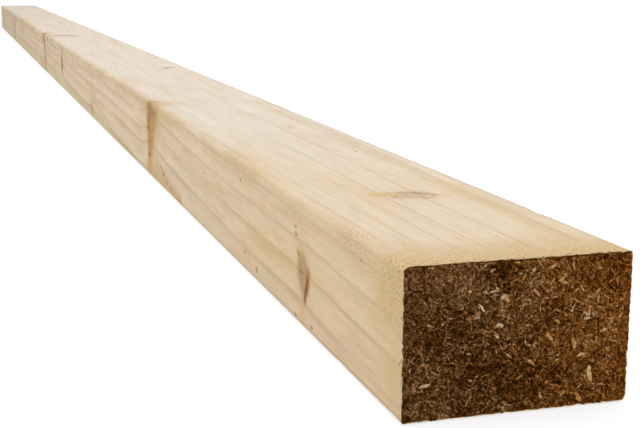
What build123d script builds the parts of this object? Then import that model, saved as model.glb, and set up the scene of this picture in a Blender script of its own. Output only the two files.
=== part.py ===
"""Timber plank: one length of dressed softwood framing stock, lying on a broad face.

Millimetres. X runs along the length, with the dark sawn end at +X. Y runs across the
width, with the front edge face at -Y. Z is up from the face that the plank lies on,
and the origin is the middle of that face.
"""

import os

from build123d import *

# Stock size
length = 2400.0  # a length that framing stock is sold in
width = 70.0  # across the broad faces
thickness = 45.0  # between the broad faces

# Arrises, the long corners of the section, eased by the planer and worn by handling
front_bottom_radius = 0.8
back_bottom_radius = 1.6
back_top_radius = 0.8
front_top_radius = 2.2  # the roundest, between the top and the front edge face

# Places of the section's four faces
front = -width / 2
back = width / 2
bottom = 0.0
top = thickness

# The plank is its section, run both ways from mid-length to the square-sawn ends.
with BuildPart() as plank:
    with BuildSketch(Plane.YZ) as section:
        with BuildLine() as outline:
            FilletPolyline(
                (front, bottom),
                (back, bottom),
                (back, top),
                (front, top),
                radius=[front_bottom_radius, back_bottom_radius, back_top_radius, front_top_radius],
                close=True,
            )
        make_face()
    extrude(amount=length / 2, both=True)
plank.part.label = "plank"

os.makedirs("parts", exist_ok=True)
export_step(plank.part, "parts/plank.step")
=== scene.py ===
"""Looks of a timber plank: planed pine with growth rings and knots, and a sawn end matted with fibres.

Metres, in the frame of the solid. X runs along the length with the dark sawn end at +X, Y runs across the
width with the front edge face at -Y, and Z is up from the face that the plank lies on.
"""

import math
from collections import namedtuple

import bpy
import numpy as np
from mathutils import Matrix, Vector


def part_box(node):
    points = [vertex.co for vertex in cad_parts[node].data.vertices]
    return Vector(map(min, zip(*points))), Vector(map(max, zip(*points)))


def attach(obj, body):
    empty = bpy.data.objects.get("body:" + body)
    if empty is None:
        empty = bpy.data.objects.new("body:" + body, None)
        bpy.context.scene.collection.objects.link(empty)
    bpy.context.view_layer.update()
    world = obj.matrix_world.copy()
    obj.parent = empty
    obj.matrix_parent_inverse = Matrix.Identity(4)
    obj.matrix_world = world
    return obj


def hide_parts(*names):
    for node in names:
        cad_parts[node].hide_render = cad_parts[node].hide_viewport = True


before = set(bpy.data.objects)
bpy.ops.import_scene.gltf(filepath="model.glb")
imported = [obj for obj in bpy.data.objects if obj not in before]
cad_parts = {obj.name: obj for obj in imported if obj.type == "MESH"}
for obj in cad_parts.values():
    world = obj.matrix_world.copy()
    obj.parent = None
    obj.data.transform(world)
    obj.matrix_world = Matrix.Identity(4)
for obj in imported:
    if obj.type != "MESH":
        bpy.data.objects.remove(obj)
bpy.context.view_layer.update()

# Places of the plank's faces, from its solid
plank_low, plank_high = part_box("plank")
far_x, front_y, bottom_z = plank_low
sawn_x, back_y, top_z = plank_high
middle_y = (front_y + back_y) / 2
middle_z = (bottom_z + top_z) / 2

mm = 0.001  # one millimetre in the scene's metres

# Arrises, the long corners of the section, as on the solid
back_bottom_radius = 1.6 * mm
back_top_radius = 0.8 * mm
front_top_radius = 2.2 * mm
front_bottom_radius = 0.8 * mm

# The tree that the plank was sawn from. Its pith passes outside the section, below and behind it.
pith_y = 74 * mm  # at the sawn end
pith_z = -46 * mm
pith_slope_y = 0.0254  # drift of the pith along the length
pith_slope_z = 0.0179
ring_radii = [52, 60, 68.5, 77, 85.5, 94, 103.4, 112.4, 120.4, 125.8, 132, 138.2, 144, 150]  # millimetres
ring_wander = 2.0 * mm  # slow, along the length
ring_ripple = 0.6 * mm  # quick, over a few centimetres


def inside(back, y, z):
    """A place in the plank, in millimetres: back from the sawn end, across from the middle and up."""
    return (sawn_x - back * mm, y * mm, z * mm)


def on_front(back, z):
    return (sawn_x - back * mm, front_y, z * mm)


def on_top(back, y):
    return (sawn_x - back * mm, y * mm, top_z)


# A knot is a tapered branch from its heart to its tip. Lift is how far it turns the rings beside it, in
# millimetres as its radii are, and warmth runs from a grey brown knot at 0 to an orange one at 1.
Knot = namedtuple("Knot", "heart tip heart_radius tip_radius lift warmth")
knots = [
    Knot(inside(90, -9, -1), inside(99, -37, 21), 4.5, 7.8, 0.6, 0.25),
    Knot(inside(91, 32, -1), inside(101, 4.5, 47), 4.5, 8.5, 0.6, 0.15),
    Knot(inside(436, -34.5, 6), inside(421, -35.5, 48), 5.0, 21, 2.6, 1.0),
    Knot(inside(680, 44, -1), inside(686, 20, 47), 3.5, 6, 1.0, 0.0),
    Knot(inside(735, -24, -1), inside(741, -37, 8), 3.5, 5.5, 1.5, 0.3),
    Knot(inside(1002, -2, -1), inside(1011, -37, 28), 5.5, 10, 2.5, 0.45),
    Knot(inside(1176, 20, -1), inside(1186, -16, 47), 6, 13, 2.5, 0.4),
    Knot(inside(1230, -33.5, -2), inside(1244, -36, 48), 8, 13, 3.2, 0.55),
    Knot(inside(1674, 0, -1), inside(1681, -37, 33), 4.5, 8.5, 2.5, 0.6),
    Knot(inside(1832, 25, -1), inside(1841, -8, 47), 5.5, 11, 2.5, 0.4),
    Knot(inside(1886, -33.5, -2), inside(1897, -36, 48), 8, 12, 3.2, 0.35),
]
knot_rag = 3.2 * mm  # of the edges of knots
knot_flow_share = 2.3  # reach of the turned grain across the length, in radii of the knot
knot_flow_slant = 0.5  # it reaches this much less steeply along the length

# Streaks on the planed faces, each a tapered rod from one place on a face to another, with its half widths
# there in millimetres. The share is how strongly it covers the wood.
Streak = namedtuple("Streak", "start end start_half end_half share", defaults=[1.0])


def streaks_on(face, rows):
    return [Streak(face(*start), face(*end), *rest) for start, end, *rest in rows]


dark_streaks = streaks_on(on_front, [
    # checks in the knot by the sawn end, on the front
    ((92, 20), (96.5, 10), 2.1, 1.7),
    ((105.5, 25.8), (102.5, 25), 0.9, 0.7),
    ((103, 19.5), (97.5, 20), 0.4, 0.3),
    # specks above and below that knot
    ((109.5, 37.2), (107.5, 37), 0.4, 0.3),
    ((110, 34.2), (107.5, 34), 0.5, 0.4),
    ((108.5, 31.6), (105.5, 31.4), 0.6, 0.4),
    ((108.5, 2.2), (107, 1.8), 0.6, 0.4),
    ((89.5, 3.0), (86.5, 2.6), 0.6, 0.5),
    # single specks
    ((194, 37), (191, 36.4), 0.5, 0.4),
    ((36, 38.6), (34.5, 38.2), 0.6, 0.4),
    ((166.5, 5), (164, 4), 0.7, 0.5),
    # spots in the spike knot on the front top arris
    ((435, 42.5), (424, 41.5), 3.6, 3.0),
    ((434, 38.5), (426, 38), 3.0, 2.6),
    ((420, 39.5), (413, 38.5), 2.6, 2.0),
    ((438, 34.5), (432, 34), 2.2, 1.8),
    ((439, 29), (434, 28.5), 1.6, 1.2),
    ((431, 34), (435, 18), 1.1, 0.8),
    ((439, 43.5), (441, 27), 1.9, 1.2),
    ((438, 13.5), (433, 12.3), 1.7, 1.4),
    # pitch below it
    ((409, 13.5), (403, 12.2), 0.8, 0.7, 0.5),
    ((397, 11.2), (392, 10), 1.0, 0.8, 0.6),
    ((388, 8.6), (383, 7.2), 1.4, 1.2, 0.7),
    ((378, 6), (374, 4.8), 1.1, 0.9, 0.6),
    ((366, 3.8), (352, 2.4), 0.8, 0.7, 0.5),
    ((345, 2.0), (325, 1.0), 0.7, 0.4, 0.5),
    # spots in knots further along the front
    ((1006, 26), (1010, 21), 5.0, 4.0, 0.8),
    ((1249, 42), (1244, 33), 9.0, 6.0, 0.8),
]) + streaks_on(on_top, [
    # checks in the knots on the top
    ((105, 2), (102, 9.5), 0.6, 0.9, 0.7),
    ((102, 9.5), (94.5, 18), 0.9, 0.4, 0.8),
    ((98.5, -1), (100, 4.5), 0.6, 0.5, 0.7),
    ((97, -3), (94.5, 8), 0.5, 0.4, 0.4),
    ((681, 20), (677, 16), 2.0, 1.2),
    ((1194, -33), (1176, -2), 6.0, 4.0, 0.8),
])
dark_streak_rag = 2.6 * mm
golden_stains = streaks_on(on_front, [
    ((104, 28), (98, 28), 3.5, 3.0, 0.55),
    ((99, 9), (101, 0), 4.5, 4.0, 0.6),
    ((432, 14), (446, 0), 5.0, 7.0, 0.6),
    ((436, 9), (395, 4), 7.0, 9.0, 0.75),
    ((412, 7), (335, 1.5), 9.0, 6.0, 0.75),
    ((16, 34), (2, 38), 8.0, 9.0, 0.55),
    ((10, 12), (2, 14), 6.0, 7.0, 0.55),
]) + streaks_on(on_top, [
    ((103.5, -5), (102, -3.5), 5.5, 5.0),
    ((180, 25), (20, 24), 3.5, 4.5, 0.3),
    ((420, 27), (180, 25), 5.0, 3.5, 0.3),
])
golden_stain_rag = 7 * mm

# What mats the sawn end. Clumps of it are lighter or darker, by tone, and some pale flakes stand out.
# Places and sizes on the end are in millimetres, across from the middle and up. A turn is in degrees.
Clump = namedtuple("Clump", "y z radius tone")
end_clumps = [
    Clump(-27, 37, 9, 0.03),
    Clump(-24, 24, 9, -0.14),
    Clump(-25, 11, 6, 0.04),
    Clump(-13, 15, 7, -0.16),
    Clump(-16, 3, 8, -0.14),
    Clump(-16, 38, 6, 0.16),
    Clump(-5, 40, 5, -0.22),
    Clump(-2, 31, 6, 0.10),
    Clump(8, 37, 8, 0.20),
    Clump(1, 10, 8, -0.16),
    Clump(11, 28, 5, -0.18),
    Clump(20, 30, 9, 0.11),
    Clump(18, 16, 8, 0.13),
    Clump(14, 9, 4, -0.20),
    Clump(30, 24, 9, 0.08),
]
pale_hue = 0.75
Flake = namedtuple("Flake", "y z length width turn tone")
pale_flakes = [
    Flake(-11.5, 31.5, 3.0, 0.6, -53, 1.0),
    Flake(-4.6, 34.2, 2.8, 1.7, 20, 0.80),
    Flake(-3.8, 33.4, 2.4, 1.2, -40, 0.76),
    Flake(-6.0, 26.0, 2.4, 1.3, 5, 0.84),
    Flake(-7.0, 23.4, 2.6, 1.0, -50, 0.82),
    Flake(-6.9, 36.6, 1.4, 0.5, -55, 0.94),
    Flake(-8.5, 42.0, 1.8, 0.9, 25, 0.80),
    Flake(-22.8, 28.0, 1.8, 0.6, 50, 0.82),
    Flake(-26.8, 27.6, 2.4, 0.7, -25, 0.80),
    Flake(-21.1, 18.0, 2.8, 0.5, -60, 0.80),
    Flake(-28.0, 10.5, 2.8, 0.9, 10, 0.90),
    Flake(-14.5, 10.7, 2.2, 0.7, -30, 0.86),
    Flake(-12.6, 11.6, 1.8, 0.6, 25, 0.84),
    Flake(-26.5, 43.8, 1.4, 0.5, 10, 0.86),
    Flake(19.3, 35.0, 2.8, 0.5, -55, 1.0),
    Flake(17.6, 34.6, 2.0, 0.5, 42, 0.96),
    Flake(16.3, 41.6, 3.0, 0.7, -62, 0.88),
    Flake(12.8, 38.0, 2.4, 0.9, 35, 0.74),
    Flake(13.8, 37.0, 2.0, 0.8, -15, 0.76),
    Flake(5.0, 34.8, 3.2, 1.0, -52, 0.86),
    Flake(9.8, 42.0, 2.2, 1.0, 40, 0.82),
    Flake(4.0, 41.5, 1.6, 0.9, 70, 0.86),
    Flake(16.8, 29.2, 2.6, 0.4, 68, 0.94),
    Flake(16.0, 28.8, 1.6, 0.4, -45, 0.88),
    Flake(21.2, 26.0, 2.2, 1.0, 10, 0.86),
    Flake(22.6, 20.9, 3.2, 0.5, -4, 0.88),
    Flake(12.0, 25.8, 2.4, 0.9, -50, 0.82),
    Flake(2.9, 25.4, 3.0, 0.6, -8, 0.90),
    Flake(9.6, 21.5, 3.8, 1.2, -52, 0.84),
    Flake(2.8, 19.9, 3.0, 0.9, -38, 0.88),
    Flake(17.3, 19.2, 4.2, 1.1, -82, 0.85),
    Flake(19.7, 15.3, 3.2, 1.0, 8, 0.86),
    Flake(12.7, 15.9, 2.4, 0.5, 20, 0.90),
    Flake(12.6, 14.6, 2.2, 0.5, 25, 0.86),
    Flake(4.1, 14.4, 3.0, 1.0, -42, 0.94),
    Flake(22.8, 9.4, 5.2, 1.7, -80, 0.93),
    Flake(26.9, 22.0, 2.4, 1.0, 30, 0.80),
    Flake(19.5, 2.6, 3.2, 1.4, -60, 0.84),
    Flake(7.4, 4.2, 2.8, 1.0, -65, 0.84),
    Flake(14.4, 4.0, 2.4, 0.9, 35, 0.86),
    Flake(0.6, 10.3, 2.2, 0.8, 40, 0.80),
    Flake(19.7, 5.8, 2.4, 0.9, 30, 0.80),
    Flake(26.8, 5.6, 1.8, 0.8, -20, 0.80),
    Flake(32.0, 26.0, 2.0, 0.9, 60, 0.80),
]


def pick(sockets, name):
    """The socket of that name that the node's settings leave in use."""
    return next(socket for socket in sockets if socket.enabled and socket.name == name)


class Field:
    """What flows out of a node. Sums on it add math nodes to its tree."""

    def __init__(self, graph, socket):
        self.graph = graph
        self.socket = socket

    def __add__(self, other):
        return self.graph.math("ADD", self, other)

    def __sub__(self, other):
        return self.graph.math("SUBTRACT", self, other)

    def __rsub__(self, other):
        return self.graph.math("SUBTRACT", other, self)

    def __mul__(self, other):
        return self.graph.math("MULTIPLY", self, other)

    def __truediv__(self, other):
        return self.graph.math("DIVIDE", self, other)

    def __pow__(self, other):
        return self.graph.math("POWER", self, other)

    __radd__ = __add__
    __rmul__ = __mul__


class Graph:
    """Short calls that add nodes to one tree. Shader and geometry trees share most of these nodes."""

    def __init__(self, tree):
        self.tree = tree

    def feed(self, socket, value):
        if isinstance(value, Field):
            self.tree.links.new(value.socket, socket)
        else:
            socket.default_value = value

    def add(self, kind, inputs=None, **settings):
        node = self.tree.nodes.new(kind)
        for name, value in settings.items():
            setattr(node, name, value)
        for name, value in (inputs or {}).items():
            self.feed(pick(node.inputs, name), value)
        return node

    def out(self, node, name=None):
        socket = pick(node.outputs, name) if name else next(s for s in node.outputs if s.enabled)
        return Field(self, socket)

    def math(self, operation, *values):
        node = self.add("ShaderNodeMath", operation=operation)
        for socket, value in zip(node.inputs, values):
            self.feed(socket, value)
        return self.out(node)

    def vector(self, operation, *values):
        node = self.add("ShaderNodeVectorMath", operation=operation)
        for socket, value in zip([s for s in node.inputs if s.enabled], values):
            self.feed(socket, value)
        return self.out(node)

    def parts(self, vector):
        node = self.add("ShaderNodeSeparateXYZ", {"Vector": vector})
        return [self.out(node, axis) for axis in "XYZ"]

    def join(self, x, y, z):
        return self.out(self.add("ShaderNodeCombineXYZ", {"X": x, "Y": y, "Z": z}))

    def step(self, value, low, high, change="SMOOTHSTEP"):
        """0 below low and 1 above high, with a smooth change between; falling where low is the larger."""
        inputs = {"Value": value, "From Min": low, "From Max": high}
        return self.out(self.add("ShaderNodeMapRange", inputs, interpolation_type=change))

    def noise_node(self, place, cells, detail, roughness):
        scaled = self.vector("MULTIPLY", place, cells)
        inputs = {"Vector": scaled, "Scale": 1.0, "Detail": detail, "Roughness": roughness}
        return self.add("ShaderNodeTexNoise", inputs)

    def noise(self, place, cells, detail=2.0, roughness=0.5):
        """Noise about 0, from -0.5 to 0.5, with that many cells to the metre along each axis."""
        return self.out(self.noise_node(place, cells, detail, roughness)) - 0.5

    def ragged(self, place, cells, reach, detail=3.0, roughness=0.5):
        """A place moved about by noise, so that what is measured from it has ragged edges."""
        noise = self.out(self.noise_node(place, cells, detail, roughness), "Color")
        about_0 = self.vector("SUBTRACT", noise, (0.5, 0.5, 0.5))
        return self.vector("ADD", place, self.vector("SCALE", about_0, reach))

    def mix(self, share, start, end):
        """A colour between start and end."""
        node = self.add("ShaderNodeMix", data_type="RGBA")
        for name, value in (("Factor", share), ("A", start), ("B", end)):
            self.feed(pick(node.inputs, name), value)
        return self.out(node)

    def ramp(self, value, stops):
        """A colour that runs through the stops, each a value and its colour."""
        node = self.add("ShaderNodeValToRGB", {"Fac": value})
        elements = node.color_ramp.elements
        while len(elements) < len(stops):
            elements.new(1.0)
        for element, (at, colour) in zip(elements, stops):
            element.position = at
            element.color = colour
        return self.out(node, "Color")

    def shade(self, colour, amount):
        """A colour made lighter or darker: an amount of 1 leaves it as it is."""
        return self.vector("SCALE", colour, amount)

    def group(self, tree, inputs):
        """A group of nodes, as its outputs by name."""
        node = self.add(tree.bl_idname.replace("NodeTree", "NodeGroup"), node_tree=tree)
        for name, value in inputs.items():
            self.feed(pick(node.inputs, name), value)
        return {socket.name: Field(self, socket) for socket in node.outputs}


def floats(*names):
    """Sockets for single numbers, by name."""
    return {name: "Float" for name in names}


def new_group(name, kind, inputs, outputs):
    """An empty group with named sockets: its graph, its inputs by name, and the node for its outputs."""
    tree = bpy.data.node_groups.new(name, kind)
    for direction, sockets in (("INPUT", inputs), ("OUTPUT", outputs)):
        for label, socket_kind in sockets.items():
            tree.interface.new_socket(label, in_out=direction, socket_type=f"NodeSocket{socket_kind}")
    graph = Graph(tree)
    start = graph.add("NodeGroupInput")
    end = graph.add("NodeGroupOutput")
    return graph, {s.name: Field(graph, s) for s in start.outputs if s.name}, end


def end_group(graph, end, **outputs):
    for name, value in outputs.items():
        graph.feed(end.inputs[name], value)
    return graph.tree


def rod_tree(kind):
    """A tapered rod. Reach is a place's distance from its axis in radii of the rod, and Flow falls from 1 at
    the axis to 0, further along the plank than across it."""
    radii = floats("Start Radius", "End Radius")
    inputs = {"Position": "Vector", "Start": "Vector", "End": "Vector", **radii}
    graph, given, end = new_group("rod_" + kind, kind, inputs, floats("Reach", "Flow"))
    axis = graph.vector("SUBTRACT", given["End"], given["Start"])
    from_start = graph.vector("SUBTRACT", given["Position"], given["Start"])
    along = graph.vector("DOT_PRODUCT", from_start, axis) / graph.vector("DOT_PRODUCT", axis, axis)
    along = graph.math("MINIMUM", graph.math("MAXIMUM", along, 0.0), 1.0)
    radius = given["Start Radius"] + along * (given["End Radius"] - given["Start Radius"])
    from_axis = graph.vector("SUBTRACT", from_start, graph.vector("SCALE", axis, along))
    slanted = graph.vector("MULTIPLY", from_axis, (knot_flow_slant, 1.0, 1.0))
    turned = graph.vector("LENGTH", slanted) / (radius * knot_flow_share)
    flow = graph.math("EXPONENT", turned * turned * -1.0)
    return end_group(graph, end, Reach=graph.vector("LENGTH", from_axis) / radius, Flow=flow)


shader_rod = rod_tree("ShaderNodeTree")
relief_rod = rod_tree("GeometryNodeTree")
far_off = 100.0  # radii of a rod, further than any place is


def nearest_rod(graph, place, one_rod, rods):
    """The distance from the nearest of the rods in its radii, that rod's weight, and the flow of each. A rod
    is its two ends, its radii there in millimetres, and its weight."""
    nearest = far_off
    weight = 0.0
    flows = []
    for start, end, start_radius, end_radius, own_weight in rods:
        found = graph.group(one_rod, {
            "Position": place, "Start": start, "End": end,
            "Start Radius": start_radius * mm, "End Radius": end_radius * mm,
        })
        closer = graph.math("LESS_THAN", found["Reach"], nearest)
        weight = closer * (own_weight - weight) + weight
        nearest = graph.math("MINIMUM", found["Reach"], nearest)
        flows.append(found["Flow"])
    return nearest, weight, flows


def away(graph, across, up):
    """The distance of a place from a line along the plank, from how far it is across and up from it."""
    return graph.math("SQRT", across * across + up * up)


def growth_tree(kind, one_rod):
    """The plank's growth at a place. Ring counts rings out from the pith, Late is the soft band of late wood
    in a ring, Line is the thin dark line that ends it, Knot is the distance from the nearest knot in its
    radii, and Warmth is that knot's."""
    outputs = floats("Ring", "Late", "Line", "Knot", "Warmth")
    graph, given, end = new_group("growth_" + kind, kind, {"Position": "Vector"}, outputs)
    place = given["Position"]

    knot_place = graph.ragged(place, (110, 260, 260), knot_rag)
    branches = [(k.heart, k.tip, k.heart_radius, k.tip_radius, k.warmth) for k in knots]
    nearest, warmth, flows = nearest_rod(graph, knot_place, one_rod, branches)
    lift = 0.0
    for knot, flow in zip(knots, flows):
        lift = flow * (knot.lift * mm) + lift

    x, y, z = graph.parts(graph.ragged(place, (2.3, 9, 9), ring_wander, 1.0))
    from_end = x - sawn_x
    out_y = y - from_end * pith_slope_y - pith_y
    out_z = z - from_end * pith_slope_z - pith_z
    radius = away(graph, out_y, out_z) - lift
    radius = radius + graph.noise(place, (14, 70, 70), 3.0) * ring_ripple
    ring = 0.0
    for inner, outer in zip(ring_radii, ring_radii[1:]):
        ring = graph.step(radius, inner * mm, outer * mm, "LINEAR") + ring
    phase = graph.math("FRACT", ring)
    late = graph.step(phase, 0.25, 0.93) * graph.step(phase, 1.0, 0.92)
    line = graph.step(phase, 0.76, 0.94) * graph.step(phase, 1.0, 0.94)
    return end_group(
        graph, end, Ring=graph.math("FLOOR", ring), Late=late, Line=line, Knot=nearest, Warmth=warmth
    )


growth_colour = growth_tree("ShaderNodeTree", shader_rod)
growth_relief = growth_tree("GeometryNodeTree", relief_rod)


def broken_rim(graph, place, knot):
    """The rim of a knot, 1 where it shows and 0 where it is broken or there is none."""
    broken = graph.step(graph.noise(place, (120, 160, 160)), -0.04, 0.16)
    return graph.step(knot, 0.78, 0.94) * graph.step(knot, 1.12, 0.98) * broken


def streak_tree(name, streaks, cells, rag):
    """Reach is the distance from the nearest of the streaks, in half widths of it, with ragged edges, and
    Share is that streak's."""
    graph, given, end = new_group(name, "ShaderNodeTree", {"Position": "Vector"}, floats("Reach", "Share"))
    place = graph.ragged(given["Position"], cells, rag, 3.0, 0.6)
    nearest, share, _ = nearest_rod(graph, place, shader_rod, streaks)
    return end_group(graph, end, Reach=nearest, Share=share)


dark_streak_reach = streak_tree("dark_streaks", dark_streaks, (300, 600, 600), dark_streak_rag)
golden_stain_reach = streak_tree("golden_stains", golden_stains, (60, 120, 120), golden_stain_rag)


def new_material(name, roughness, specular):
    """A material with one Principled shader: its graph, the shader and the place on the object."""
    material = bpy.data.materials.new(name)
    material.use_nodes = True
    graph = Graph(material.node_tree)
    shader = material.node_tree.nodes["Principled BSDF"]
    shader.inputs["Roughness"].default_value = roughness
    shader.inputs["Specular IOR Level"].default_value = specular
    place = graph.out(graph.add("ShaderNodeTexCoord"), "Object")
    return material, graph, shader, place


def bump(graph, shader, height, depth):
    """Fine relief on the shader's normal. Height runs over about one unit, and depth is its size."""
    node = graph.add("ShaderNodeBump", {"Height": height, "Distance": depth})
    graph.feed(shader.inputs["Normal"], graph.out(node, "Normal"))


# Colours of the wood
early_wood = (0.808, 0.632, 0.416, 1.0)
pale_wood = (0.852, 0.692, 0.498, 1.0)
# The top's two colours are greyer than the front's: painted sheen of light grazing the top
far_top_sheen_wood = (0.818, 0.727, 0.612, 1.0)
near_top_sheen_wood = (0.800, 0.665, 0.490, 1.0)
late_wood = (0.440, 0.290, 0.150, 1.0)
pink_wood = (0.745, 0.550, 0.375, 1.0)
honey_wood = (0.690, 0.480, 0.230, 1.0)
knot_grey = (0.380, 0.245, 0.140, 1.0)
knot_orange = (0.550, 0.280, 0.095, 1.0)
knot_rim = (0.220, 0.110, 0.045, 1.0)
streak_rust = (0.400, 0.165, 0.050, 1.0)
streak_dark = (0.115, 0.048, 0.010, 1.0)
speck_brown = (0.230, 0.130, 0.060, 1.0)
dust_brown = (0.340, 0.185, 0.070, 1.0)
dust_pale = (0.830, 0.690, 0.450, 1.0)
torn_brown = (0.240, 0.110, 0.035, 1.0)

# Where the looks of the planed faces change
deep_stretch = 0.42  # metres from the sawn end, along which the wood is deeper in colour
deep_full = 0.03
top_edge = 7 * mm  # along the front top arris, where the front's wood gives way to the top's
top_edge_rag = 8 * mm
# Painted shade along the two sharpest arrises, front bottom and back top
arris_shade_reach = 2.6 * mm  # of the darkening along the two sharpest arrises
arris_shade_full = 0.4 * mm
end_dust_reach = 36 * mm
end_dust_rag = 28 * mm
arris_dust_and_shade_reach = 15 * mm
dust_full = 1 * mm
front_dust_low = 14 * mm  # on the front the dust thickens from here
front_dust_high = 38 * mm
front_dust_rag = 14 * mm
torn_reach = 1.4 * mm  # of the torn fibres behind the sawn end
torn_full = 0.2 * mm
torn_rag = 9 * mm


def knot_tint(graph, place, growth, grain, fade, colour):
    """Lays knots over a colour, each with a warm edge, a ringed grey or orange middle and a broken rim."""
    knot = growth["Knot"]
    warmth = growth["Warmth"]
    halo = graph.step(knot, 2.2, 0.9) * (warmth * 0.5 + 0.2) * fade
    colour = graph.mix(halo, colour, honey_wood)
    rings = graph.math("SINE", knot * 20.0 + grain * 9.0) * 0.14
    patches = graph.noise(place, (240, 240, 240), 3.0) * 0.8
    middle = graph.shade(graph.mix(warmth, knot_grey, knot_orange), 1.0 + rings + patches)
    inner = graph.step(knot, 1.12, 0.55) * fade
    colour = graph.mix(inner * (warmth * 0.3 + 0.6), colour, middle)
    return graph.mix(broken_rim(graph, place, knot) * fade * 0.4, colour, knot_rim)


def streak_tint(graph, place, colour):
    """Lays golden stains, rusty streaks with dark middles, and scattered specks over a colour."""
    stain = graph.group(golden_stain_reach, {"Position": place})
    colour = graph.mix(graph.step(stain["Reach"], 1.3, 0.1) * stain["Share"], colour, honey_wood)
    streak = graph.group(dark_streak_reach, {"Position": place})
    rust = graph.step(streak["Reach"], 1.8, 0.4) * streak["Share"]
    colour = graph.mix(rust * 0.6, colour, streak_rust)
    broken = graph.step(graph.noise(place, (260, 420, 420)), -0.2, 0.08)
    dark = graph.step(streak["Reach"], 0.9, 0.1) * broken * streak["Share"]
    colour = graph.mix(dark * 0.85, colour, streak_dark)
    cells = graph.vector("MULTIPLY", place, (26, 60, 60))
    spots = graph.add("ShaderNodeTexVoronoi", {"Vector": cells, "Scale": 1.0, "Randomness": 1.0})
    speck = graph.step(graph.out(spots, "Distance"), 0.075, 0.03)
    return graph.mix(speck * 0.5, colour, speck_brown)


def dust_tint(graph, place, on_top_face, colour):
    """Lays brown and pale crumbs on honey over a colour, by the sawn end and in patches along the front top
    arris, and torn fibres at the very end. On the front the crumbs thicken upwards. Along the arris the
    honey is partly painted shade, dimming the lit round of the arris."""
    x, y, z = graph.parts(place)
    from_end = sawn_x - x
    uneven_end = from_end + graph.noise(place, (60, 90, 90), 3.0) * end_dust_rag
    by_end = graph.step(uneven_end, end_dust_reach, dust_full)
    by_arris = graph.step(away(graph, (y - front_y) * 2.0, z - top_z), arris_dust_and_shade_reach, dust_full)
    uneven_z = z + graph.noise(place, (40, 60, 60)) * front_dust_rag
    high_up = graph.step(uneven_z, front_dust_low, front_dust_high)
    colour = graph.mix(by_end * (0.35 + high_up * 0.3 + on_top_face * 0.25), colour, honey_wood)
    crumbs = graph.noise(place, (800, 1700, 1700), 3.0, 0.8)
    patches = graph.step(graph.noise(place, (18, 60, 60)), -0.12, 0.14)
    # Along the front top arris a honey tint: partly dust, and partly painted shade dimming the arris's lit
    # round
    colour = graph.mix(by_arris * (0.1 + patches * 0.2), colour, honey_wood)
    thick = by_end * (0.1 + high_up * 0.5 + by_arris * 0.4)
    dust = graph.math("MAXIMUM", thick, by_arris * patches * 0.8)
    colour = graph.mix(graph.step(crumbs, 0.0, 0.16) * dust, colour, dust_brown)
    colour = graph.mix(graph.step(crumbs, -0.02, -0.16) * dust * 0.6, colour, dust_pale)
    uneven_end = from_end + graph.noise(place, (400, 900, 900), 3.0, 0.7) * torn_rag
    torn = graph.step(uneven_end, torn_reach, torn_full)
    torn_wood = graph.mix(graph.step(crumbs, -0.05, 0.1), dust_pale, torn_brown)
    return graph.mix(torn * 0.7, colour, torn_wood)


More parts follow.
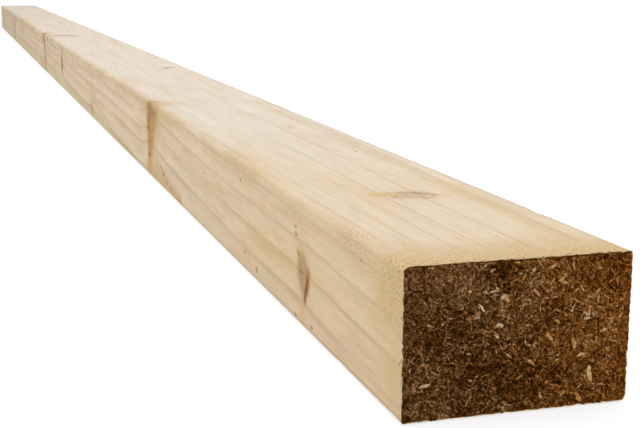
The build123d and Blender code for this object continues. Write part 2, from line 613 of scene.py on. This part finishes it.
def planed_pine():
    """Pale planed faces: rings, fine grain along the length, knots, streaks, and dust by the sawn end."""
    material, graph, shader, place = new_material("planed_pine", roughness=0.6, specular=0.06)
    growth = graph.group(growth_colour, {"Position": place})
    x, y, z = graph.parts(place)
    uneven_y = y + graph.noise(place, (40, 90, 90)) * top_edge_rag
    on_top_face = graph.step(z, top_z - top_edge, top_z)
    on_top_face = on_top_face * graph.step(uneven_y, front_y - top_edge_rag / 2, front_y + top_edge)

    # Rings, each a little lighter or darker than the next. The top is greyer than the front, more so away
    # from the sawn end: painted sheen of light grazing the top.
    by_end = graph.step(x, sawn_x - deep_stretch, sawn_x - deep_full)
    ring_chance = graph.add("ShaderNodeTexWhiteNoise", {"W": growth["Ring"]}, noise_dimensions="1D")
    depth = (graph.out(ring_chance, "Value") * 0.5 + 0.7) * (1.35 - on_top_face * (1.0 - by_end * 0.4))
    late = growth["Late"] * (0.22 - by_end * 0.12) * (1.0 - on_top_face * 0.6)
    line = growth["Line"] * (0.19 + by_end * 0.10) * (1.0 - on_top_face * 0.6)
    thin_line = growth["Line"] ** 4.0 * on_top_face * 0.45
    broken = graph.step(graph.noise(place, (9, 90, 90), 3.0), -0.25, 0.15) * 0.7 + 0.3
    band = (late + line + thin_line) * depth * broken
    front_wood = graph.mix(by_end, pale_wood, early_wood)
    sheened_top_wood = graph.mix(by_end, far_top_sheen_wood, near_top_sheen_wood)
    colour = graph.mix(band, graph.mix(on_top_face, front_wood, sheened_top_wood), late_wood)

    # Slow drift of hue, and fine grain along the length
    drift = graph.noise(place, (7, 60, 60), 3.0)
    colour = graph.mix(graph.step(drift, 0.0, 0.26) * (0.75 - on_top_face * 0.3), colour, pink_wood)
    colour = graph.mix(graph.step(drift, 0.0, -0.26) * (0.75 - on_top_face * 0.4), colour, honey_wood)
    patches = graph.noise(place, (16, 150, 150), 3.0, 0.6)
    colour = graph.mix(graph.step(patches, 0.0, 0.22) * (0.5 - on_top_face * 0.4), colour, honey_wood)
    grain = graph.noise(place, (22, 700, 700), 3.0, 0.6)
    fine_grain = graph.noise(place, (110, 2600, 2600), 2.0, 0.6)
    mottle = graph.noise(place, (60, 300, 300), 3.0, 0.6)
    colour = graph.shade(colour, 1.0 + grain * 0.26 + fine_grain * 0.18 + mottle * 0.2)

    # Painted shade on the two sharpest arrises, front bottom and back top: where the arris turns away from
    # the light, and at the bottom the floor's contact shadow
    from_front_bottom = away(graph, y - front_y, z - bottom_z)
    from_back_top = away(graph, y - back_y, z - top_z)
    arris_shade = graph.step(graph.math("MINIMUM", from_front_bottom, from_back_top), arris_shade_reach, arris_shade_full)
    colour = graph.mix(arris_shade * 0.45, colour, late_wood)

    fade = 1.0 - on_top_face * (growth["Warmth"] * 0.35 + 0.4)
    colour = knot_tint(graph, place, growth, grain, fade, colour)
    colour = streak_tint(graph, place, colour)
    colour = dust_tint(graph, place, on_top_face, colour)
    graph.feed(shader.inputs["Base Color"], colour)
    graph.feed(shader.inputs["Roughness"], 0.62 - growth["Late"] * 0.08 + grain * 0.12)
    bump(graph, shader, fine_grain * 0.6 + grain + growth["Late"] * 0.5, depth=0.12 * mm)
    return material


def sawn_pine():
    """The far end: plain sawn end grain with the rings as arcs, and saw marks across it."""
    material, graph, shader, place = new_material("sawn_pine", roughness=0.82, specular=0.2)
    growth = graph.group(growth_colour, {"Position": place})
    colour = graph.mix(growth["Late"] * 0.55 + growth["Line"] * 0.3, honey_wood, late_wood)
    pores = graph.noise(place, (900, 900, 900), 3.0, 0.7)
    saw_marks = graph.noise(place, (40, 60, 900))
    colour = graph.shade(colour, 0.92 + pores * 0.35 + saw_marks * 0.18)
    colour = graph.mix(graph.step(growth["Knot"], 1.05, 0.9) * 0.7, colour, knot_grey)
    graph.feed(shader.inputs["Base Color"], colour)
    bump(graph, shader, pores + saw_marks, depth=0.25 * mm)
    return material


# Browns of the matted end, by tone
mat_browns = [
    (0.00, (0.030, 0.008, 0.000, 1.0)),
    (0.25, (0.105, 0.035, 0.003, 1.0)),
    (0.50, (0.240, 0.096, 0.019, 1.0)),
    (0.75, (0.410, 0.205, 0.068, 1.0)),
    (0.92, (0.510, 0.310, 0.148, 1.0)),
    (1.00, (0.650, 0.465, 0.290, 1.0)),
]

# What tints them: grey, golden and red, and on pale pieces straw that is greyer at the front than the back
mat_tints = [
    (0.20, (1.22, 1.38, 2.25, 1.0)),
    (0.45, (1.02, 1.00, 0.92, 1.0)),
    (0.88, (1.42, 1.15, 0.70, 1.0)),
]
front_straw_tint = (1.08, 1.13, 1.22, 1.0)
back_straw_tint = (0.84, 0.77, 0.60, 1.0)
mat_tint_rag = 40 * mm


def fibre_brown_tree():
    """Brown of the matted end, from near black through red brown to pale straw. Hue runs from a grey brown
    at 0 through golden to red at 1, and rises towards the back. Clumps are lighter or darker."""
    inputs = {"Position": "Vector", **floats("Tone", "Hue")}
    graph, given, end = new_group("fibre_brown", "ShaderNodeTree", inputs, {"Colour": "Color"})
    place = given["Position"]
    flat = graph.vector("MULTIPLY", place, (0.0, 1.0, 1.0))
    tone = given["Tone"]
    for clump in end_clumps:
        off = graph.vector("DISTANCE", flat, (0.0, clump.y * mm, clump.z * mm)) / (clump.radius * mm)
        tone = tone + graph.math("EXPONENT", off * off * -1.0) * clump.tone
    tone = tone + graph.noise(flat, (1, 150, 210), 3.0, 0.6) * 0.8 + graph.noise(flat, (1, 900, 900))
    # Small darker spots: painted shade of deep gaps between the fibres
    tone = tone - graph.step(graph.noise(flat, (1, 600, 600)), 0.10, 0.22) * 0.4
    brown = graph.ramp(tone, mat_browns)
    y = graph.parts(place)[1]
    across = graph.step(y + graph.noise(place, (60, 60, 60)) * mat_tint_rag, front_y, back_y)
    tint = graph.ramp(given["Hue"] * 0.45 + across * 0.55, mat_tints)
    straw_tint = graph.mix(across, front_straw_tint, back_straw_tint)
    tint = graph.mix(graph.step(tone, 0.45, 0.95) * 0.8, tint, straw_tint)
    return end_group(graph, end, Colour=graph.vector("MULTIPLY", brown, tint))


fibre_brown = fibre_brown_tree()


def matted_fibre():
    """Fibres, chips and flakes on the sawn end. Each carries its own tone and hue."""
    material, graph, shader, place = new_material("matted_fibre", roughness=0.8, specular=0.08)
    tone = graph.out(graph.add("ShaderNodeAttribute", attribute_name="tone"), "Fac")
    hue = graph.out(graph.add("ShaderNodeAttribute", attribute_name="hue"), "Fac")
    veins = graph.noise(place, (2600, 2600, 2600), 3.0, 0.7)
    brown = graph.group(fibre_brown, {"Position": place, "Tone": tone + veins * 1.1, "Hue": hue})
    graph.feed(shader.inputs["Base Color"], brown["Colour"])
    bump(graph, shader, veins, depth=0.1 * mm)
    return material


def fibre_bed():
    """What shows between the fibres: the same browns, dark and lumpy."""
    material, graph, shader, place = new_material("fibre_bed", roughness=0.9, specular=0.03)
    lumps = graph.noise(place, (1100, 1100, 1100), 4.0, 0.7)
    hue = graph.noise(place, (500, 500, 500)) + 0.5
    brown = graph.group(fibre_brown, {"Position": place, "Tone": lumps * 1.4 + 0.3, "Hue": hue})
    graph.feed(shader.inputs["Base Color"], brown["Colour"])
    bump(graph, shader, lumps, depth=0.5 * mm)
    return material


# The skin is a grid of section points at stations along the length, closer together towards the sawn end.
skin_spacing = 1.15 * mm  # along the flats of the section
arris_steps = {"front_top": 6, "other": 4}
near_stretch = 0.30  # metres from the sawn end
near_spacing = 4.0 * mm
middle_stretch = 0.80
middle_spacing = 6.5 * mm
far_spacing = 9.0 * mm
rim_steps = [0.0, 0.35 * mm, 0.8 * mm, 1.4 * mm, 2.2 * mm, 3.2 * mm]  # behind the sawn end
bed_depth = 1.2 * mm  # of the bed behind the sawn end
lump_depth = 1.6 * mm  # how much deeper its hollows are
cap_loops = 24  # of each end, one inside the other
cap_middle_share = 0.03  # size of the innermost, of the section's
sharp_angle = math.radians(50)  # edges sharper than this aren't shaded smooth

# The skin's map for baking. Its long faces are cut into rows, one above the other, with the ends on top.
bake_rows = 2
bake_skin_share = 0.88  # of the map's height
bake_gap_share = 0.008
bake_end_stretch = 2  # the ends are drawn out this much across the map
bake_end_step = 0.5  # from one end's left edge to the other's


def new_object(name, mesh):
    made = bpy.data.objects.new(name, mesh)
    bpy.context.scene.collection.objects.link(made)
    return made


def section_loop():
    """Points of the section in Y and Z, anticlockwise seen from the sawn end."""
    corners = [
        (back_y, bottom_z, -1, 1, back_bottom_radius, -90, arris_steps["other"]),
        (back_y, top_z, -1, -1, back_top_radius, 0, arris_steps["other"]),
        (front_y, top_z, 1, -1, front_top_radius, 90, arris_steps["front_top"]),
        (front_y, bottom_z, 1, 1, front_bottom_radius, 180, arris_steps["other"]),
    ]
    arcs = []
    for y, z, inward_y, inward_z, radius, start, steps in corners:
        turns = np.radians(start + np.linspace(0, 90, steps + 1))
        arc_y = y + inward_y * radius + radius * np.cos(turns)
        arc_z = z + inward_z * radius + radius * np.sin(turns)
        arcs.append(np.column_stack([arc_y, arc_z]))
    points = []
    for arc, following in zip(arcs, arcs[1:] + arcs[:1]):
        points.append(arc)
        run = following[0] - arc[-1]
        count = round(np.linalg.norm(run) / skin_spacing)
        points.append(arc[-1] + run * (np.arange(1, count) / count)[:, None])
    return np.concatenate(points)


def station_places():
    """Places of the stations along the length, from the far end to the sawn end."""
    rim = sawn_x - np.array(rim_steps[::-1])
    near = np.arange(sawn_x - near_stretch, rim[0] - near_spacing / 2, near_spacing)
    middle = np.arange(sawn_x - middle_stretch, near[0] - middle_spacing / 2, middle_spacing)
    count = math.ceil((middle[0] - far_x) / far_spacing)
    far = np.linspace(far_x, middle[0], count, endpoint=False)
    return np.concatenate([far, middle, near, rim])


def end_map(places, start):
    """The bake map of places on an end, drawn above the long faces from that start across the map."""
    high = 1 - bake_skin_share - 2 * bake_gap_share
    scale = high / (top_z - bottom_z)
    u = start + (places[..., 1] - front_y) * scale * bake_end_stretch
    v = bake_skin_share + bake_gap_share + (places[..., 2] - bottom_z) * scale
    return np.stack([u, v], -1)


def ring_faces(low, high, around):
    """Faces between two loops of points, given by the number of the first point in each."""
    here = np.arange(around)
    following = (here + 1) % around
    return np.column_stack([low + here, low + following, high + following, high + here])


def planed_map(run_shares, length_shares):
    """The bake map of the faces between two stations. The shares are of the way round the section, at each
    point and at the first again, and of the length, at each station."""
    row = int(sum(length_shares) / 2 * bake_rows)
    row_height = bake_skin_share / bake_rows
    u = [bake_gap_share + (share * bake_rows - row) * (1 - 2 * bake_gap_share) for share in length_shares]
    v = row * row_height + bake_gap_share / 2 + run_shares * (row_height - bake_gap_share)
    corner_u = [np.full(len(v) - 1, k) for k in (u[0], u[0], u[1], u[1])]
    corner_v = [v[:-1], v[1:], v[1:], v[:-1]]
    return np.stack([np.stack(corner_u, 1), np.stack(corner_v, 1)], -1)


def plank_skin(materials):
    """The plank as one closed mesh: planed faces, the plain far end and the bed of the sawn end."""
    loop = section_loop()
    stations = station_places()
    around = len(loop)
    skin_count = len(stations) * around
    centre = np.array([middle_y, middle_z])
    sizes = np.linspace(1, cap_middle_share, cap_loops + 1)[1:]
    places = [np.column_stack([np.full(around, x), loop]) for x in stations]
    for cap_x in (far_x, sawn_x - bed_depth):
        places += [np.column_stack([np.full(around, cap_x), centre + (loop - centre) * s]) for s in sizes]
    points = np.concatenate(places)
    faces = []
    face_maps = []
    face_materials = []

    # Planed faces
    steps = np.linalg.norm(np.diff(loop, axis=0, append=loop[:1]), axis=1)
    run = np.concatenate([[0], np.cumsum(steps)])
    length_shares = (stations - far_x) / (sawn_x - far_x)
    for i in range(len(stations) - 1):
        faces += ring_faces(i * around, (i + 1) * around, around).tolist()
        face_maps.append(planed_map(run / run[-1], length_shares[i:i + 2]).reshape(-1, 2))
        face_materials += [0] * around

    # Ends, each a nest of loops closed in the middle. Those of the far end run the other way round.
    for number, outer in ((0, 0), (1, skin_count - around)):
        loops = [outer] + [skin_count + (number * cap_loops + k) * around for k in range(cap_loops)]
        rings = [ring_faces(a, b, around) for a, b in zip(loops, loops[1:])]
        rings.append(loops[-1] + np.arange(around)[None])
        start = bake_gap_share + number * bake_end_step
        for ring in rings:
            turned = ring[:, ::-1] if number == 0 else ring
            faces += turned.tolist()
            face_maps.append(end_map(points[turned], start).reshape(-1, 2))
            face_materials += [number + 1] * len(ring)

    mesh = bpy.data.meshes.new("plank_skin")
    mesh.from_pydata(points.tolist(), [], faces)
    for material in materials:
        mesh.materials.append(material)
    mesh.polygons.foreach_set("material_index", face_materials)
    mesh.uv_layers.new(name="OFBake").uv.foreach_set("vector", np.concatenate(face_maps).ravel())
    return new_object("plank_skin", mesh)


def grow(piece, tree, **inputs):
    """Runs a geometry tree on a piece, with its inputs by name, and keeps the result as the piece's mesh."""
    modifier = piece.modifiers.new(tree.name, "NODES")
    modifier.node_group = tree
    for item in tree.interface.items_tree:
        key = item.name.lower().replace(" ", "_")
        if item.in_out == "INPUT" and key in inputs:
            modifier[item.identifier] = inputs[key]
    graph = bpy.context.evaluated_depsgraph_get()
    mesh = bpy.data.meshes.new_from_object(
        piece.evaluated_get(graph), preserve_all_data_layers=True, depsgraph=graph
    )
    piece.modifiers.clear()
    mesh.name = piece.name
    piece.data = mesh
    return piece


def end_hollow(graph, place):
    """Hollows in the bed of the sawn end, 0 on its lumps and 1 in its pits."""
    return graph.step(graph.noise(place, (0, 420, 420)), -0.20, 0.20)


rim_stretch = 2.2 * mm  # behind the sawn end, where the rim is nicked and torn
bruise_reach = 3.0 * mm  # from an arris
bruise_full = 0.5 * mm
bed_edge = 0.6 * mm  # from the outline, inside which the bed is lumpy
bed_full = 2.5 * mm
lump_start = bed_depth + 0.3 * mm  # behind the sawn end, in front of which its lumps are
lump_full = bed_depth + 0.1 * mm


def skin_relief_tree():
    """Sinks the skin under the solid's faces: early wood lower than late, knots proud, arrises bruised."""
    depths = floats("Late Rise", "Knot Rise", "Rim Depth", "Bruise Depth", "Nick Depth", "Rag", "Lump Depth")
    inputs = {"Geometry": "Geometry", **depths}
    graph, given, end = new_group("skin_relief", "GeometryNodeTree", inputs, {"Geometry": "Geometry"})
    place = graph.out(graph.add("GeometryNodeInputPosition"))
    normal = graph.out(graph.add("GeometryNodeInputNormal"))
    growth = graph.group(growth_relief, {"Position": place})
    x, y, z = graph.parts(place)
    knot = growth["Knot"]

    # Depth below the solid's face
    depth = (1.0 - growth["Late"]) * given["Late Rise"]
    depth = depth + graph.step(knot, 0.85, 1.1) * given["Knot Rise"]
    depth = depth + broken_rim(graph, place, knot) * given["Rim Depth"]
    from_side = (back_y - front_y) / 2 - graph.math("ABSOLUTE", y - middle_y)
    from_face = (top_z - bottom_z) / 2 - graph.math("ABSOLUTE", z - middle_z)
    by_arris = graph.step(away(graph, from_side, from_face), bruise_reach, bruise_full)
    bruised = graph.step(graph.noise(place, (45, 60, 60), 3.0, 0.6), 0.05, 0.3)
    depth = depth + by_arris * bruised * given["Bruise Depth"]
    at_rim = graph.step(x, sawn_x - rim_stretch, sawn_x)
    nicked = graph.step(graph.noise(place, (250, 420, 420), 3.0, 0.7), -0.05, 0.22)
    depth = depth + nicked * at_rim * given["Nick Depth"]
    sunk = graph.vector("SCALE", normal, depth * -1.0)

    # The rim of the sawn end is torn back, and its bed is lumpy
    tear = graph.step(graph.noise(place, (500, 900, 900), 3.0, 0.7), -0.05, 0.25) * at_rim * given["Rag"]
    from_edge = graph.math("MINIMUM", from_side, from_face)
    in_bed = graph.step(x, sawn_x - lump_start, sawn_x - lump_full)
    in_bed = in_bed * graph.step(from_edge, bed_edge, bed_full)
    pit = end_hollow(graph, place) * in_bed * given["Lump Depth"]
    torn = graph.join((tear + pit) * -1.0, 0.0, 0.0)
    offset = graph.vector("ADD", sunk, torn)
    moved = graph.add("GeometryNodeSetPosition", {"Geometry": given["Geometry"], "Offset": offset})
    return end_group(graph, end, Geometry=graph.out(moved))


end_inset = 0.35 * mm  # of the sheet that carries the fibres, from the section's outline
end_clear = 0.1 * mm  # left between the fibres and the plank's faces


def end_sheet(name):
    """The surface that the fibres stand on: the section a little inside its outline."""
    loop = section_loop()
    centre = np.array([middle_y, middle_z])
    half = np.array([back_y - middle_y, top_z - middle_z])
    inner = centre + (loop - centre) * (1 - end_inset / half)
    mesh = bpy.data.meshes.new(name)
    points = np.column_stack([np.full(len(inner), sawn_x - bed_depth), inner])
    mesh.from_pydata(points.tolist(), [], [list(range(len(inner)))])
    return new_object(name, mesh)


def flake_tree():
    """One flake along Y, a unit long and wide, pointed at both ends and curled away from the sheet."""
    inputs = {"Sides": "Int", "Segments": "Int", **floats("Tip Share", "Curl")}
    graph, given, end = new_group("flake", "GeometryNodeTree", inputs, {"Geometry": "Geometry"})
    tube = graph.add("GeometryNodeMeshCylinder", {
        "Vertices": given["Sides"], "Side Segments": given["Segments"], "Radius": 0.5, "Depth": 1.0})
    x, y, z = graph.parts(graph.out(graph.add("GeometryNodeInputPosition")))
    outward = z * 2.0
    bulge = graph.math("SQRT", graph.math("MAXIMUM", 1.0 - outward * outward, 0.0))
    girth = given["Tip Share"] + (1.0 - given["Tip Share"]) * bulge
    shape = graph.join(x * girth + outward * outward * given["Curl"], z, y * girth * -1.0)
    shaped = graph.add("GeometryNodeSetPosition", {"Geometry": graph.out(tube, "Mesh"), "Position": shape})
    return end_group(graph, end, Geometry=graph.out(shaped))


# The mat's map for baking looks along the plank, askew, so that no side of a flake is seen edge on.
mat_map_skew_y = 0.3
mat_map_skew_z = 0.2
mat_map_share = 0.9  # of the map's width and height
mat_map_margin_share = 0.06


def settle_tree():
    """Crumples realized flakes, keeps them inside the plank, maps them for baking and coats them."""
    inputs = {"Geometry": "Geometry", "Crumple": "Float", "Material": "Material"}
    graph, given, end = new_group("settle", "GeometryNodeTree", inputs, {"Geometry": "Geometry"})
    place = graph.out(graph.add("GeometryNodeInputPosition"))
    kept = graph.ragged(place, (1100, 1100, 1100), given["Crumple"], 3.0, 0.7)
    kept = graph.vector("MINIMUM", kept, (sawn_x, back_y - end_clear, top_z - end_clear))
    kept = graph.vector("MAXIMUM", kept, (far_x, front_y + end_clear, bottom_z + end_clear))

    # What lies past the round of the front top arris is drawn back to it
    x, y, z = graph.parts(kept)
    past_y = graph.math("MINIMUM", y - (front_y + front_top_radius), 0.0)
    past_z = graph.math("MAXIMUM", z - (top_z - front_top_radius), 0.0)
    room = front_top_radius - end_clear
    past = graph.math("MAXIMUM", away(graph, past_y, past_z), room)
    drawn = graph.math("DIVIDE", room, past) - 1.0
    kept = graph.join(x, y + past_y * drawn, z + past_z * drawn)
    settled = graph.add("GeometryNodeSetPosition", {"Geometry": given["Geometry"], "Position": kept})

    x, y, z = graph.parts(place)
    behind = x - sawn_x
    across = (y + behind * mat_map_skew_y - front_y) / (back_y - front_y)
    up = (z + behind * mat_map_skew_z - bottom_z) / (top_z - bottom_z)
    u, v = [share * mat_map_share + mat_map_margin_share for share in (across, up)]
    stored = {"Geometry": graph.out(settled), "Name": "OFBake", "Value": graph.join(u, v, 0.0)}
    mapped = graph.add("GeometryNodeStoreNamedAttribute", stored, data_type="FLOAT2", domain="CORNER")
    coated = {"Geometry": graph.out(mapped), "Material": given["Material"]}
    return end_group(graph, end, Geometry=graph.out(graph.add("GeometryNodeSetMaterial", coated)))


flake = flake_tree()
settle = settle_tree()
flake_inputs = {
    "Geometry": "Geometry", "Seed": "Int", "Sides": "Int", "Segments": "Int", "Material": "Material",
    **floats("Tip Share", "Curl", "Flatness", "Tilt", "Crumple"),
}


def chance(graph, given, salt, low=0.0, high=1.0):
    """A random number for each point. The salt tells one draw of a layer from the next."""
    inputs = {"Min": low, "Max": high, "Seed": given["Seed"] + salt}
    return graph.out(graph.add("FunctionNodeRandomValue", inputs))


def tilt(graph, given, salt):
    """A random lean out of the sheet, either way."""
    return chance(graph, given, salt, -1.0, 1.0) * given["Tilt"]


def lay_flakes(graph, given, points, rotation, length, width):
    """A flake on each of the points."""
    shape = {name: given[name] for name in ("Sides", "Segments", "Tip Share", "Curl")}
    return graph.add("GeometryNodeInstanceOnPoints", {
        "Points": points, "Instance": graph.group(flake, shape)["Geometry"], "Rotation": rotation,
        "Scale": graph.join(width * given["Flatness"], length, width)})


def settle_flakes(graph, given, laid):
    """Laid flakes as a mesh, settled in the mat."""
    real = graph.add("GeometryNodeRealizeInstances", {"Geometry": graph.out(laid)})
    inputs = {"Geometry": graph.out(real), "Crumple": given["Crumple"], "Material": given["Material"]}
    return graph.group(settle, inputs)["Geometry"]


fine_low = 16 * mm  # heights between which flakes become finer, towards the front top corner
fine_high = 36 * mm
clump_turn = 12.0  # radians, by which whole clumps of flakes are turned
own_turn = 1.1  # and each flake on its own, either way


def fibre_mat_tree():
    """Strews flakes over a sheet, turned every way in its plane with clumps that lie alike."""
    inputs = {**flake_inputs, **floats(
        "Density", "Least Length", "Most Length", "Least Width", "Most Width", "Rise", "Lump Depth",
        "Least Tone", "Most Tone",
    )}
    graph, given, end = new_group("fibre_mat", "GeometryNodeTree", inputs, {"Geometry": "Geometry"})

    def between(what, power, salt):
        least = given["Least " + what]
        return least + (given["Most " + what] - least) * chance(graph, given, salt) ** power

    spread = graph.add("GeometryNodeDistributePointsOnFaces", {
        "Mesh": given["Geometry"], "Density": given["Density"], "Seed": given["Seed"]})
    place = graph.out(graph.add("GeometryNodeInputPosition"))
    _, y, z = graph.parts(place)

    # Flakes are finer towards the front top corner, and lie lower in the hollows
    size = 1.0 - graph.step(y, middle_y, front_y) * (graph.step(z, fine_low, fine_high) * 0.4 + 0.12)
    length = between("Length", 2.0, 1) * size
    width = between("Width", 1.5, 2) * size
    turn = graph.noise(place, (90, 90, 90), 1.0) * clump_turn + chance(graph, given, 3, -own_turn, own_turn)
    rotation = graph.join(turn, tilt(graph, given, 4), tilt(graph, given, 5))
    laid = lay_flakes(graph, given, graph.out(spread, "Points"), rotation, length, width)
    height = chance(graph, given, 6) * given["Rise"] - end_hollow(graph, place) * given["Lump Depth"]
    laid = graph.add("GeometryNodeTranslateInstances", {
        "Instances": graph.out(laid), "Translation": graph.join(height, 0.0, 0.0), "Local Space": False})
    for name, value in (("tone", between("Tone", 1.4, 7)), ("hue", chance(graph, given, 8))):
        stored = {"Geometry": graph.out(laid), "Name": name, "Value": value}
        laid = graph.add("GeometryNodeStoreNamedAttribute", stored, data_type="FLOAT", domain="INSTANCE")
    return end_group(graph, end, Geometry=settle_flakes(graph, given, laid))


def pale_flake_points(name):
    """A point for each pale flake, which carries its length, width, turn, tone and hue."""
    mesh = bpy.data.meshes.new(name)
    mesh.from_pydata([(sawn_x - bed_depth / 2, f.y * mm, f.z * mm) for f in pale_flakes], [], [])
    carried = {
        "length": [f.length * mm for f in pale_flakes],
        "width": [f.width * mm for f in pale_flakes],
        "turn": [math.radians(f.turn) for f in pale_flakes],
        "tone": [f.tone for f in pale_flakes],
        "hue": [pale_hue for f in pale_flakes],
    }
    for field, values in carried.items():
        mesh.attributes.new(field, "FLOAT", "POINT").data.foreach_set("value", values)
    return new_object(name, mesh)


def pale_flake_tree():
    """Lays a flake on each point by the length, width and turn that the point carries."""
    graph, given, end = new_group("pale_flakes", "GeometryNodeTree", flake_inputs, {"Geometry": "Geometry"})

    def carried(name):
        node = graph.add("GeometryNodeInputNamedAttribute", {"Name": name}, data_type="FLOAT")
        return graph.out(node, "Attribute")

    rotation = graph.join(carried("turn"), tilt(graph, given, 1), tilt(graph, given, 2))
    laid = lay_flakes(graph, given, given["Geometry"], rotation, carried("length"), carried("width"))
    return end_group(graph, end, Geometry=settle_flakes(graph, given, laid))


# The camera of the photograph, close to the sawn end and looking along the front edge face
camera_place = (1.49942, -0.14946, 0.12337)
camera_turn = (78.677, -0.203, 73.162)  # degrees
camera_lens = 68.845  # millimetres, as the sensor's width is
camera_sensor = 36.0
camera_clip = 0.01

# Light, soft and from above, with a little from the front and the sawn end. Power is in watts.
white = (1.0, 1.0, 1.0, 1.0)
ambient_strength = 0.42
Lamp = namedtuple("Lamp", "name place target size power")
lamps = [
    Lamp("overhead", (0.2, 0.2, 2.2), (0.2, 0.0, 0.0), (3.6, 2.2), 35),
    Lamp("front_fill", (1.6, -2.2, 1.0), (0.6, 0.0, 0.0), (2.0, 1.4), 11),
    Lamp("end_fill", (2.8, -0.5, 0.75), (1.2, 0.0, 0.0), (1.2, 0.9), 9),
]

# The floor glows fully only far from the plank, so that the plank's shadow shows.
floor_reach = 12.0
floor_drop = 0.3 * mm  # below the plank
floor_grey = (0.80, 0.80, 0.80, 1.0)
floor_seen_grey = (0.45, 0.45, 0.45, 1.0)
floor_glow = 0.65
floor_glow_near = 1.5
floor_glow_far = 6.0


def photo_camera():
    data = bpy.data.cameras.new("photo_camera")
    data.sensor_width = camera_sensor
    data.lens = camera_lens
    data.clip_start = camera_clip
    camera = new_object("photo_camera", data)
    camera.location = camera_place
    camera.rotation_euler = [math.radians(turn) for turn in camera_turn]
    bpy.context.scene.camera = camera


def soft_lamp(lamp):
    data = bpy.data.lights.new(lamp.name, "AREA")
    data.shape = "RECTANGLE"
    data.size, data.size_y = lamp.size
    data.energy = lamp.power
    made = new_object(lamp.name, data)
    made.location = lamp.place
    aim = np.array(lamp.target) - np.array(lamp.place)
    lean = math.atan2(math.hypot(aim[0], aim[1]), -aim[2])
    made.rotation_euler = (lean, 0.0, math.atan2(aim[1], aim[0]) - math.pi / 2)


def shown_rays(graph):
    """1 for rays that show a surface as it looks, and 0 for those that only carry light."""
    path = graph.add("ShaderNodeLightPath")
    seen = graph.out(path, "Is Camera Ray") + graph.out(path, "Is Glossy Ray")
    return graph.math("MINIMUM", seen + graph.out(path, "Is Transmission Ray"), 1.0)


def surroundings():
    """A world that is white where it is seen, and lights the plank less than that."""
    world = bpy.data.worlds.new("studio")
    world.use_nodes = True
    bpy.context.scene.world = world
    graph = Graph(world.node_tree)
    background = world.node_tree.nodes["Background"]
    background.inputs["Color"].default_value = white
    strength = shown_rays(graph) * (1.0 - ambient_strength) + ambient_strength
    graph.feed(background.inputs["Strength"], strength)


def pale_floor():
    """A floor that lights the plank as a pale grey, and glows to white where it is seen."""
    material, graph, shader, place = new_material("studio_floor", roughness=0.9, specular=0.5)
    seen = shown_rays(graph)
    far_away = graph.step(graph.vector("LENGTH", place), floor_glow_near, floor_glow_far)
    graph.feed(shader.inputs["Base Color"], graph.mix(seen, floor_grey, floor_seen_grey))
    shader.inputs["Emission Color"].default_value = white
    graph.feed(shader.inputs["Emission Strength"], seen * (floor_glow + far_away * (1.0 - floor_glow)))
    mesh = bpy.data.meshes.new("floor")
    corners = [(-1, -1), (1, -1), (1, 1), (-1, 1)]
    level = bottom_z - floor_drop
    mesh.from_pydata([(x * floor_reach, y * floor_reach, level) for x, y in corners], [], [(0, 1, 2, 3)])
    mesh.materials.append(material)
    new_object("floor", mesh)


skin = plank_skin([planed_pine(), sawn_pine(), fibre_bed()])
grow(skin, skin_relief_tree(), late_rise=0.06 * mm, knot_rise=0.15 * mm, rim_depth=0.35 * mm,
     bruise_depth=0.5 * mm, nick_depth=0.35 * mm, rag=0.7 * mm, lump_depth=lump_depth)
skin.data.shade_smooth()
skin.data.set_sharp_from_angle(angle=sharp_angle)

fibre_mat = fibre_mat_tree()
fibre = matted_fibre()


def mat_layer(name, lengths, widths, tones, **inputs):
    """A layer of the mat on the sawn end. Lengths, widths and tones are its flakes' least and most."""
    for what, (least, most) in (("length", lengths), ("width", widths), ("tone", tones)):
        inputs["least_" + what] = least
        inputs["most_" + what] = most
    return grow(end_sheet(name), fibre_mat, material=fibre, **inputs)


mat_pieces = [
    mat_layer("end_fibres", (0.5 * mm, 2.6 * mm), (0.15 * mm, 0.4 * mm), (0.10, 0.9), density=1.4e6, seed=11,
              sides=4, segments=2, flatness=0.6, tip_share=0.3, curl=1.2, tilt=0.5, rise=0.9 * mm,
              lump_depth=lump_depth, crumple=0.9 * mm),
    mat_layer("end_crumbs", (0.4 * mm, 1.3 * mm), (0.3 * mm, 0.8 * mm), (0.10, 0.8), density=2.8e6, seed=17,
              sides=4, segments=2, flatness=0.7, tip_share=0.35, curl=0.4, tilt=0.8, rise=0.8 * mm,
              lump_depth=lump_depth, crumple=1.2 * mm),
    mat_layer("end_chips", (0.8 * mm, 3.2 * mm), (0.3 * mm, 1.0 * mm), (0.10, 0.8), density=2.4e6, seed=23,
              sides=3, segments=3, flatness=0.35, tip_share=0.25, curl=1.5, tilt=0.5, rise=0.8 * mm,
              lump_depth=lump_depth, crumple=1.6 * mm),
    mat_layer("end_splinters", (1.2 * mm, 3.2 * mm), (0.25 * mm, 0.6 * mm), (0.65, 0.95), density=4.0e4,
              seed=37, sides=5, segments=3, flatness=0.4, tip_share=0.2, curl=1.0, tilt=0.25, rise=0.9 * mm,
              lump_depth=0.3 * mm, crumple=0.9 * mm),
    grow(pale_flake_points("end_pale_flakes"), pale_flake_tree(), seed=41, sides=6, segments=5,
         tip_share=0.1, curl=0.8, flatness=0.3, tilt=0.3, crumple=1.6 * mm, material=fibre),
]

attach(skin, "root")
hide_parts("plank")
for piece in mat_pieces:
    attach(piece, "root")

photo_camera()
surroundings()
pale_floor()
for lamp in lamps:
    soft_lamp(lamp)
bpy.context.scene.view_settings.view_transform = "Standard"
